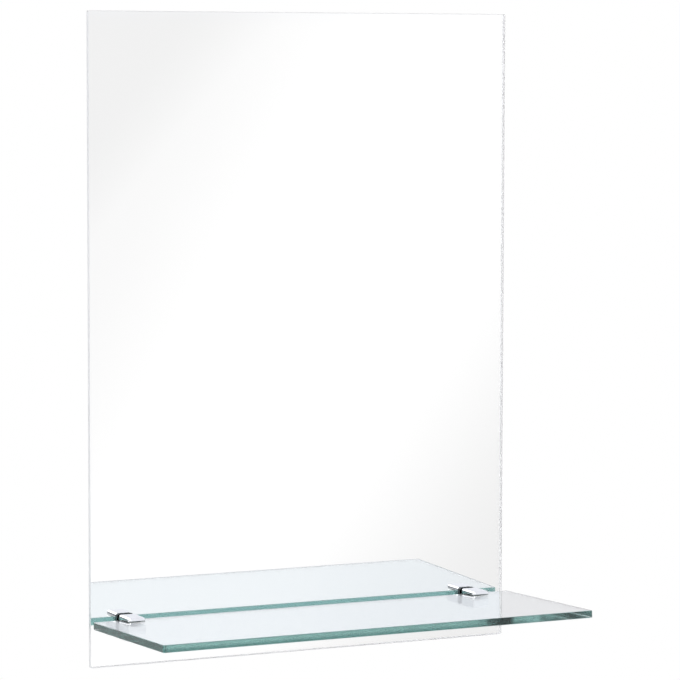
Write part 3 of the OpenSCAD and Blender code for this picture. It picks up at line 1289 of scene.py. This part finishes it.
@dataclass
class Clamp:
    """One clamp: a casting with two jaws, its liner and its gasket."""

    side: Side
    layout: Layout
    finishes: Finishes
    width: float = 20 * MM
    reach: float = 29 * MM
    tail: float = 4 * MM
    roof: float = 4.0 * MM
    roof_slope: float = math.radians(1.9)
    liner: float = 0.6 * MM
    floor: float = -11.9 * MM
    sole: float = -21.4 * MM
    stem: float = 9.3 * MM
    heel_radius: float = 3 * MM
    nose_radius: float = 1 * MM
    top_radius: float = 2.9 * MM
    edge_radius: float = 0.8 * MM
    fillet: float = 0.5 * MM
    lip: float = 0.25 * MM
    mouth_edge: float = 0.2 * MM
    bore: float = 6.1 * MM
    bore_chamfer: float = 0.6 * MM
    past: float = 1 * MM
    bevel_steps: int = 5

    def build(self) -> None:
        """Builds the casting and dresses what it holds."""
        word = self.side.word
        seat(self._casting(), "mirror", "chrome", f"{word}_clamp_body")
        dress(f"{word}_jaw_liner", self.finishes.seal)
        dress(f"{word}_clamp_gasket", self.finishes.seal)

    def _casting(self) -> Piece:
        """Builds the casting with rounded edges.

        Each corner of its side view has the radius of its edge across the clamp, and the
        radius of the edge that runs on to the next corner along each cheek.

        Returns:
            The casting, trimmed square to the mirror and bored for the screw.
        """
        tail_roof = self.roof + (self.reach + self.tail) * math.tan(self.roof_slope)
        corners = [
            (-self.tail, self.sole, 0.0, self.edge_radius),
            (self.reach, self.sole, self.heel_radius, self.nose_radius),
            (self.reach, self.floor, self.lip, self.mouth_edge),
            (self.stem, self.floor, self.fillet, self.mouth_edge),
            (self.stem, self.liner, self.fillet, self.mouth_edge),
            (self.reach, self.liner, self.lip, self.top_radius),
            (self.reach, self.roof, self.top_radius, self.top_radius),
            (-self.tail, tail_roof, 0.0, 0.0),
        ]
        shape = bmesh.new()
        cheeks = [
            [shape.verts.new((x, -out, up)) for out, up, _, _ in corners]
            for x in (-self.width / 2, self.width / 2)
        ]
        weights = shape.edges.layers.float.new("bevel_weight_edge")
        largest = max(self.heel_radius, self.top_radius)
        shape.faces.new(cheeks[0])
        shape.faces.new(cheeks[1][::-1])
        for i, (_, _, corner_radius, side_radius) in enumerate(corners):
            j = (i + 1) % len(corners)
            shape.faces.new([cheeks[0][i], cheeks[0][j], cheeks[1][j], cheeks[1][i]])
            shape.edges.get((cheeks[0][i], cheeks[1][i]))[weights] = corner_radius / largest
            for cheek in cheeks:
                shape.edges.get((cheek[i], cheek[j]))[weights] = side_radius / largest
        piece = new_piece(f"{self.side.word}_clamp_casting", shape, [self.finishes.chrome])
        bevel = piece.modifiers.new("rounding", "BEVEL")
        bevel.limit_method = "WEIGHT"
        bevel.width = largest
        bevel.segments = self.bevel_steps
        bevel.use_clamp_overlap = False
        settle(piece)
        piece.data.transform(self.layout.at_clamp(self.side))
        self._trim(piece)
        cut_from(piece, self._bore_cutter())
        return finished(piece, weighted=True)

    def _trim(self, piece: Piece) -> None:
        """Cuts the casting's back off square to the mirror.

        Args:
            piece: The casting.
        """
        shape = bmesh.new()
        shape.from_mesh(piece.data)
        cut = bmesh.ops.bisect_plane(
            shape,
            geom=shape.verts[:] + shape.edges[:] + shape.faces[:],
            plane_co=(0, self.layout.clamp_back, 0),
            plane_no=(0, 1, 0),
            clear_outer=True,
        )
        rim = [e for e in cut["geom_cut"] if isinstance(e, bmesh.types.BMEdge)]
        bmesh.ops.contextual_create(shape, geom=rim)
        bmesh.ops.recalc_face_normals(shape, faces=shape.faces[:])
        shape.to_mesh(piece.data)
        shape.free()

    def _bore_cutter(self) -> Piece:
        """What the screw's bore takes out of the lower jaw.

        Returns:
            A cylinder with a countersink, in place.
        """
        radius, past = self.bore / 2, self.past
        profile = [
            (0.0, self.sole - past),
            (radius + self.bore_chamfer + past, self.sole - past),
            (radius, self.sole + self.bore_chamfer),
            (radius, self.floor + past),
            (0.0, self.floor + past),
        ]
        cutter = moved(new_piece("cutter", turned(profile), []), y=self.layout.screw_y)
        cutter.data.transform(self.layout.at_clamp(self.side))
        return cutter


@dataclass
class Plunger:
    """What presses the shelf into one clamp: a pad and the set screw that carries it."""

    side: Side
    layout: Layout
    finishes: Finishes
    pad_thickness: float = 2 * MM
    pad_radius: float = 6.5 * MM
    pad_ease: float = 0.5 * MM
    socket_radius: float = 1.8 * MM
    ring_inner: float = 3.2 * MM
    ring_outer: float = 4.6 * MM
    ring_depth: float = 0.35 * MM
    ring_slope: float = 0.2 * MM
    ease_steps: int = 5
    end_ease: float = 0.3 * MM
    nose_radius: float = 1.75 * MM
    play: float = 0.05 * MM
    key: float = 3 * MM
    key_depth: float = 5 * MM
    overcut: float = 1 * MM
    thread: Thread = Thread(major=6 * MM, pitch=1 * MM, length=10 * MM)

    def build(self) -> None:
        """Builds the pad and the screw."""
        word = self.side.word
        seat(self._pad(), f"{word}_pad", "nylon", f"{word}_pressure_pad")
        seat(self._screw(), f"{word}_screw", "steel", f"{word}_clamp_screw")

    def _pad(self) -> Piece:
        """Turns the pressure pad with a soft rim and a ring moulded in its underside.

        Returns:
            The pad in its place.
        """
        thick, radius, ease = self.pad_thickness, self.pad_radius, self.pad_ease
        profile = [(0.0, thick / 2), (self.socket_radius, thick / 2), (self.socket_radius, 0.0)]
        profile += [
            (self.ring_inner, 0.0),
            (self.ring_inner + self.ring_slope, self.ring_depth),
            (self.ring_outer - self.ring_slope, self.ring_depth),
            (self.ring_outer, 0.0),
        ]
        profile += arc((radius - ease, ease), ease, -90, 0, self.ease_steps)
        profile += arc((radius - ease, thick - ease), ease, 0, 90, self.ease_steps)
        profile.append((0.0, thick))
        pad = new_piece(f"{self.side.word}_pad_disc", turned(profile), [self.finishes.nylon])
        return self._stood(pad, -thick)

    def _screw(self) -> Piece:
        """Builds the set screw: nose, wound thread and hexagon socket.

        Returns:
            The screw in its place.
        """
        word, core, ease = self.side.word, self.thread.core, self.end_ease
        foot, nose_top = -self.thread.length, self.pad_thickness / 2 - self.play
        profile = [
            (0.0, foot),
            (core - ease, foot),
            (core, foot + ease),
            (core, -ease),
            (core - ease, 0.0),
            (self.nose_radius, 0.0),
            (self.nose_radius, nose_top),
            (0.0, nose_top),
        ]
        body = new_piece(f"{word}_screw_core", turned(profile), [self.finishes.zinc])
        cut_from(body, moved(hexagon_cutter(self.key, self.key_depth), z=foot - self.overcut))
        ridge = self.thread.wound(f"{word}_screw_ridge", self.finishes.zinc)
        moved(ridge, z=foot + self.thread.pitch / 2)
        return self._stood(joined(f"{word}_set_screw", [body, ridge]), -self.pad_thickness)

    def _stood(self, piece: Piece, level: float) -> Piece:
        """Stands a turned piece on the screw's axis under the shelf.

        Args:
            piece: The piece, with its Z towards the shelf.
            level: Where its origin comes, from the shelf's underside.

        Returns:
            The finished piece.
        """
        axis = (0, self.layout.screw_y, level - self.layout.shelf_thickness)
        piece.data.transform(self.layout.at_clamp(self.side) @ Matrix.Translation(axis))
        return finished(piece)


@dataclass
class BoltSet:
    """The two bolts through the mirror, with their washers and sleeves."""

    layout: Layout
    finishes: Finishes
    shank: float = 5 * MM
    head: float = 9.5 * MM
    head_height: float = 3 * MM
    head_ease: float = 0.4 * MM
    head_back: float = -5.8 * MM
    grip: float = 5 * MM
    pitch: float = 0.8 * MM
    runout: float = 0.3 * MM
    tip: float = 0.4 * MM
    key: float = 3 * MM
    key_depth: float = 2 * MM
    overcut: float = 0.001 * MM
    head_steps: int = 60
    ease_steps: int = 4
    knurls: int = 40
    knurl_width: float = 0.42 * MM
    knurl_depth: float = 0.12 * MM
    knurl_margin: float = 0.5 * MM
    washer_outer: float = 9 * MM
    washer_inner: float = 2.7 * MM
    washer_thickness: float = 1.2 * MM
    washer_ease: float = 0.25 * MM

    def build(self) -> None:
        """Builds the bolts and dresses what lies under their heads."""
        seat(self._bolts(), "mirror", "steel", "clamp_bolts")
        seat(self._washers(), "mirror", "steel", "steel_washers")
        dress("hole_sleeves", self.finishes.nylon)
        dress("soft_washers", self.finishes.rubber)

    def _pair(self, piece: Piece) -> Piece:
        """Stands a turned piece with its Z out of the wall on each bolt's axis.

        Args:
            piece: The piece, with its origin at the underside of a bolt's head.

        Returns:
            Both copies as one finished piece.
        """
        foot = Matrix.Translation((0, self.head_back, self.layout.bolt_z))
        piece.data.transform(foot @ Matrix.Rotation(math.radians(90), 4, "X"))
        pair_of(piece, self.layout.clamp_x, self.finishes.zinc)
        return finished(piece)

    def _bolts(self) -> Piece:
        """Turns, knurls, sockets and threads a bolt, and sets two of it.

        Returns:
            Both bolts as one piece.
        """
        zinc, shank = self.finishes.zinc, self.shank / 2
        back, ease = -self.head_height, self.head_ease
        end = self.head_back - self.layout.clamp_back + self.grip
        thread = Thread(major=self.shank, pitch=self.pitch, length=self.grip)
        head = self.head / 2 - self.knurl_depth
        profile = [(0.0, back), *arc((head - ease, ease + back), ease, -90, 0, self.ease_steps)]
        profile += [(head, 0.0), (shank, 0.0), (shank, end - self.grip)]
        profile += [
            (thread.core, end - self.grip + self.runout),
            (thread.core, end - self.tip),
            (thread.core - self.tip, end),
            (0.0, end),
        ]
        body = new_piece("bolt body", turned(profile, self.head_steps), [zinc])
        cut_from(body, moved(hexagon_cutter(self.key, self.key_depth), z=back - self.overcut))
        ridge = moved(thread.wound("bolt ridge", zinc), z=end - self.grip + thread.pitch / 2)
        return self._pair(joined("mirror_bolts", [body, ridge, self._knurling(head)]))

    def _knurling(self, radius: float) -> Piece:
        """Sets straight knurls round the head with Geometry Nodes.

        Args:
            radius: Radius of the plain head.

        Returns:
            The ring of knurls.
        """
        sizes = {
            "Head radius": radius,
            "Knurls": self.knurls,
            "Knurl width": self.knurl_width,
            "Knurl height": self.head_height - 2 * self.knurl_margin,
        }
        tree = GeometryTree("head knurl", self.finishes.zinc, sizes)
        ring = tree.result(
            "MeshCircle", Vertices=tree.size("Knurls"), Radius=tree.size("Head radius")
        )
        knurl = tree.result(
            "MeshCylinder",
            Vertices=6,
            Radius=tree.size("Knurl width") * 0.5,
            Depth=tree.size("Knurl height"),
        )
        around = tree.result("InstanceOnPoints", Points=ring, Instance=knurl)
        knurls = tree.run(new_piece("head knurls", bmesh.new(), []), around)
        return moved(knurls, z=-self.head_height / 2)

    def _washers(self) -> Piece:
        """Stamps a washer with a rolled-over rim, and sets two of it.

        Returns:
            Both washers as one piece.
        """
        outer, inner = self.washer_outer, self.washer_inner
        thick, ease = self.washer_thickness, self.washer_ease
        profile = [(inner, 0.0), *arc((outer - ease, ease), ease, -90, 0, self.ease_steps)]
        profile += [(outer, thick), (inner + ease / 2, thick), (inner, thick - ease / 2)]
        return self._pair(new_piece("steel_washer_pair", turned(profile), [self.finishes.zinc]))


@dataclass
class Hanger:
    """A folded plate with a keyhole, stuck to the mirror's back on foam."""

    side: Side
    finishes: Finishes
    middle_x: float = 150 * MM
    width: float = 70 * MM
    height: float = 70 * MM
    thickness: float = 1.2 * MM
    strip: float = 34 * MM
    rise: float = 5.3 * MM
    bend: float = 1.6 * MM
    bend_steps: int = 6
    corner: float = 3 * MM
    keyhole: float = 10 * MM
    slot: float = 5 * MM
    slot_rise: float = 13 * MM
    grip_hole: float = 5 * MM
    grip_holes: int = 3
    grip_steps: int = 24
    keyhole_steps: int = 30
    slot_steps: int = 12
    smooth_angle: float = 30

    def build(self) -> None:
        """Folds the plate and dresses its foam."""
        word = self.side.word
        seat(self._folded(), "mirror", "galvanised", f"{word}_hanger_plate")
        dress(f"{word}_hanger_tape", self.finishes.foam)

    def _section(self) -> List[Vector3]:
        """Follows the middle of the sheet from the strip's middle to the flange's end.

        Its flanks lean by 45 degrees, so that they reach out as far as they rise.

        Returns:
            Distance along the sheet, X and Y of each point.
        """
        half = self.thickness / 2
        top, foot = -half, -self.rise - half
        fold = 45
        share = math.tan(math.radians(fold / 2))
        knee = self.strip / 2 - half * share
        tangent = self.bend * share
        ankle = knee + self.rise
        line = [(0.0, top)]
        line += arc((knee - tangent, top - self.bend), self.bend, 90, 90 - fold, self.bend_steps)
        line += arc(
            (ankle + tangent, foot + self.bend), self.bend, 270 - fold, 270, self.bend_steps
        )
        line.append((self.width / 2, foot))
        rows: List[Vector3] = []
        run = 0.0
        for i, (x, y) in enumerate(line):
            if i:
                run += math.dist(line[i - 1], (x, y))
            rows.append((run, x, y))
        return rows

    def _folded(self) -> Piece:
        """Cuts the blank with its holes, folds it and gives it its thickness.

        Returns:
            The finished plate in its place.
        """
        rows = self._section()
        half_run = rows[-1][0]
        loops = [round_outline(2 * half_run, self.height, self.corner), self._keyhole_loop()]
        flange_run = half_run - (self.width - self.strip - 2 * self.rise) / 4
        pitch = self.height / self.grip_holes
        for sign in (-1, 1):
            for i in range(self.grip_holes):
                centre = (sign * flange_run, (i + 0.5) * pitch - self.height / 2)
                loops.append(arc(centre, self.grip_hole / 2, 0, 360, self.grip_steps)[:-1])
        shape = self._blank(loops, rows)
        plate = new_piece(f"{self.side.word}_hanger", shape, [self.finishes.galvanised])
        wall = plate.modifiers.new("sheet", "SOLIDIFY")
        wall.thickness = self.thickness
        wall.offset = 0.0
        wall.use_even_offset = True
        settle(plate)
        return finished(moved(plate, x=self.side.value * self.middle_x), self.smooth_angle)

    def _keyhole_loop(self) -> List[Point2]:
        """Outline of the keyhole.

        Returns:
            The outline, round the middle of its wide part.
        """
        half = self.slot / 2
        drop = math.degrees(math.asin(half / (self.keyhole / 2)))
        lower = arc((0, 0), self.keyhole / 2, 90 + drop, 450 - drop, self.keyhole_steps)
        upper = arc((0, self.slot_rise), half, 0, 180, self.slot_steps)
        return lower + upper

    def _blank(self, loops: Sequence[Sequence[Point2]], rows: Sequence[Vector3]) -> Shape:
        """Triangulates the flat blank along its bend lines and folds it.

        Args:
            loops: Outline and holes on the flat blank.
            rows: The section that the blank follows.

        Returns:
            The folded sheet without thickness.
        """
        points = [Vector(p) for loop in loops for p in loop]
        edges = loop_edges(loops)
        past = self.height / 2 + MM
        for run, _, _ in rows[1:-1]:
            for sign in (-1, 1):
                edges.append((len(points), len(points) + 1))
                points += [Vector((sign * run, -past)), Vector((sign * run, past))]
        corners, faces = triangulated(points, edges, loops)
        shape = bmesh.new()
        folded = [shape.verts.new(self._fold(corner, rows)) for corner in corners]
        for face in faces:
            shape.faces.new([folded[i] for i in face])
        loose = [v for v in shape.verts if not v.link_faces]
        bmesh.ops.delete(shape, geom=loose, context="VERTS")
        return shape

    @staticmethod
    def _fold(point: Vector, rows: Sequence[Vector3]) -> Vector3:
        """Where a point of the flat blank lies once it is folded.

        Args:
            point: The point on the blank.
            rows: The section that the blank follows.

        Returns:
            Its place.
        """
        run, sign = abs(point.x), math.copysign(1, point.x)
        for (ra, xa, ya), (rb, xb, yb) in zip(rows, rows[1:]):
            if run <= rb + TINY:
                share = (run - ra) / (rb - ra)
                return (sign * (xa + (xb - xa) * share), ya + (yb - ya) * share, point.y)
        return (sign * rows[-1][1], rows[-1][2], point.y)


@dataclass
class Bumpers:
    """Two soft feet that keep the mirror's lower edge off the wall."""

    finishes: Finishes
    half_spacing: float = 230 * MM
    level: float = -584 * MM
    base: float = 20 * MM
    face: float = 15 * MM
    height: float = 8 * MM
    rim: float = 0.8 * MM
    rim_ease: float = 0.3 * MM
    face_ease: float = 1 * MM
    draft: float = 10
    ease_steps: int = 6
    rings: Vector3 = (5.4 * MM, 3.9 * MM, 2.4 * MM)
    ring_width: float = 0.8 * MM
    ring_slope: float = 0.25 * MM
    ring_depth: float = 0.4 * MM

    def build(self) -> None:
        """Turns a foot with rings in its face, and sets two of it."""
        seat(self._feet(), "mirror", "rubber", "wall_bumpers")

    def _feet(self) -> Piece:
        """Builds both feet.

        Returns:
            The pair as one piece.
        """
        base, top, ease = self.base / 2, self.height, self.face_ease
        profile = [(0.0, 0.0), (base - self.rim_ease, 0.0)]
        profile += [(base, self.rim_ease), (base, self.rim)]
        profile += arc((self.face / 2 - ease, top - ease), ease, self.draft, 90, self.ease_steps)
        for outer in self.rings:
            inner = outer - self.ring_width
            profile += [
                (outer, top),
                (outer - self.ring_slope, top - self.ring_depth),
                (inner + self.ring_slope, top - self.ring_depth),
                (inner, top),
            ]
        profile.append((0.0, top))
        feet = new_piece("wall_feet", turned(profile), [self.finishes.rubber])
        foot = Matrix.Translation((0, -top, self.level))
        feet.data.transform(foot @ Matrix.Rotation(math.radians(-90), 4, "X"))
        pair_of(feet, self.half_spacing, self.finishes.rubber)
        return finished(feet)


# ---- The studio ----


@dataclass(frozen=True)
class SkyPatch:
    """A soft-edged patch of the sky round an axis."""

    axis: Vector3
    start: float
    end: float
    strength: float = 1.0

    def met(self, recipe: Recipe, way: Socket) -> Wire:
        """How strongly a ray that runs a given way meets the patch."""
        lean = Wire(recipe.combined("DOT_PRODUCT", way, self.axis).outputs["Value"])
        return lean.ramp(self.start, self.end) * self.strength


@dataclass
class Studio:
    """Camera, lamps, sky and floor."""

    eye: Vector3 = (-1.5443, -3.2774, 0.0519)
    heading: float = 25.967
    tilt: float = -4.879
    roll: float = 0.135
    lens: float = 175.53
    film: float = 36.0
    sight: float = 100.0
    box_place: Vector3 = (-0.4, -3.1, 1.0)
    box_aim: Vector3 = (0, 0, -0.5)
    box_width: float = 2.2
    box_height: float = 1.3
    box_power: float = 9.5
    high_power: float = 1.1
    high_spread: float = 50
    high_turn: Vector3 = (32, -18, 0)
    corner: SkyPatch = SkyPatch((-0.873, -0.493, 0.747), 0.066, 0.12, 0.135)
    flank: SkyPatch = SkyPatch((-0.883, -0.473, 0.498), 0.03, 0.085, 0.07)
    low: SkyPatch = SkyPatch((0.875, 0.489, -0.697), 0.025, 0.105, 0.16)
    upper: SkyPatch = SkyPatch((0, 0, 1), 0.008, 0.03)
    unlit: SkyPatch = SkyPatch((-0.432, -0.9, -0.045), 0.955, 0.99)
    behind: SkyPatch = SkyPatch((0, 1, 0), 0.0, 0.5)
    white: Colour = (1.03, 1.03, 1.03)
    black: Colour = (0, 0, 0)
    cool: Colour = (0.89, 0.915, 0.985)
    dark: Colour = (0.16, 0.17, 0.18)
    wall: Colour = (0.86, 0.84, 0.86)
    fill: Colour = (0.62, 0.63, 0.645)
    floor_level: float = -1.3
    floor_radius: float = 3.4
    floor_steps: int = 96
    bounces: int = 32
    glossy_bounces: int = 16

    def build(self) -> None:
        """Sets up everything round the object."""
        self._camera()
        self._lamps()
        self._sky()
        self._floor()
        bpy.context.scene.view_settings.view_transform = "Standard"
        cycles = bpy.context.scene.cycles
        cycles.max_bounces = cycles.transmission_bounces = self.bounces
        cycles.glossy_bounces = self.glossy_bounces

    @staticmethod
    def _hung(data: bpy.types.ID) -> Piece:
        """Puts a lamp or a camera in the scene.

        Args:
            data: The lamp or the camera.

        Returns:
            Its object.
        """
        thing = bpy.data.objects.new(data.name, data)
        bpy.context.scene.collection.objects.link(thing)
        return thing

    def _camera(self) -> None:
        """Points the camera as the photograph was taken."""
        data = bpy.data.cameras.new("camera")
        data.lens = self.lens
        data.sensor_width = self.film
        data.clip_end = self.sight
        camera = self._hung(data)
        turn = Matrix.Rotation(-math.radians(self.heading), 4, "Z")
        turn @= Matrix.Rotation(math.radians(90 + self.tilt), 4, "X")
        turn @= Matrix.Rotation(math.radians(self.roll), 4, "Z")
        camera.matrix_world = Matrix.Translation(self.eye) @ turn
        bpy.context.scene.camera = camera

    def _lamps(self) -> None:
        """Hangs one large soft lamp and a soft high light."""
        box = bpy.data.lights.new("front softbox", "AREA")
        box.shape = "RECTANGLE"
        box.size, box.size_y = self.box_width, self.box_height
        box.energy = self.box_power
        lamp = self._hung(box)
        lamp.location = self.box_place
        aim = Vector(self.box_aim) - Vector(self.box_place)
        lamp.rotation_euler = aim.to_track_quat("-Z", "Y").to_euler()
        lamp.visible_camera = False
        high = bpy.data.lights.new("high light", "SUN")
        high.energy = self.high_power
        high.angle = math.radians(self.high_spread)
        self._hung(high).rotation_euler = [math.radians(angle) for angle in self.high_turn]

    def _sky(self) -> None:
        """Writes the sky: white to the eye, softly graded in glass and metal."""
        world = bpy.data.worlds.new("studio sky")
        world.use_nodes = True
        bpy.context.scene.world = world
        recipe = Recipe(world.node_tree)
        rays = recipe.node("ShaderNodeLightPath").outputs
        way = recipe.node("ShaderNodeTexCoord").outputs["Generated"]
        corner, flank, low, upper, unlit, behind = (
            patch.met(recipe, way)
            for patch in (self.corner, self.flank, self.low, self.upper, self.unlit, self.behind)
        )
        shade = corner.larger(flank).larger(low)
        graded = recipe.blend(shade, self.white, self.black)
        graded = recipe.blend(upper * (1 - shade), graded, self.cool)
        graded = recipe.blend(unlit, graded, self.dark)
        graded = recipe.blend(behind, graded, self.wall)
        mirrored = Wire(rays["Is Glossy Ray"]).larger(Wire(rays["Is Transmission Ray"]))
        colour = recipe.blend(mirrored, self.fill, graded)
        colour = recipe.blend(Wire(rays["Is Camera Ray"]), colour, (1, 1, 1))
        inputs = {"Color": colour, "Strength": 1.0}
        background = recipe.node("ShaderNodeBackground", inputs=inputs)
        recipe.node("ShaderNodeOutputWorld", inputs={"Surface": background.outputs[0]})

    def _floor(self) -> None:
        """Lays the round floor."""
        shape = bmesh.new()
        bmesh.ops.create_circle(
            shape, cap_ends=True, radius=self.floor_radius, segments=self.floor_steps
        )
        floor = moved(new_piece("floor", shape, [StudioFloor().material()]), z=self.floor_level)


def main() -> None:
    """Builds the studio and dresses every piece of the object."""
    logging.basicConfig(level=logging.INFO, format="%(name)s: %(message)s")
    layout = Layout()
    Studio().build()
    finishes = Finishes(layout)
    MirrorSheet(layout, finishes).build()
    ShelfSheet(finishes).build()
    for side in Side:
        Clamp(side, layout, finishes).build()
        Plunger(side, layout, finishes).build()
    BoltSet(layout, finishes).build()
    for side in Side:
        Hanger(side, finishes).build()
    Bumpers(finishes).build()


if __name__ == "__main__":
    main()
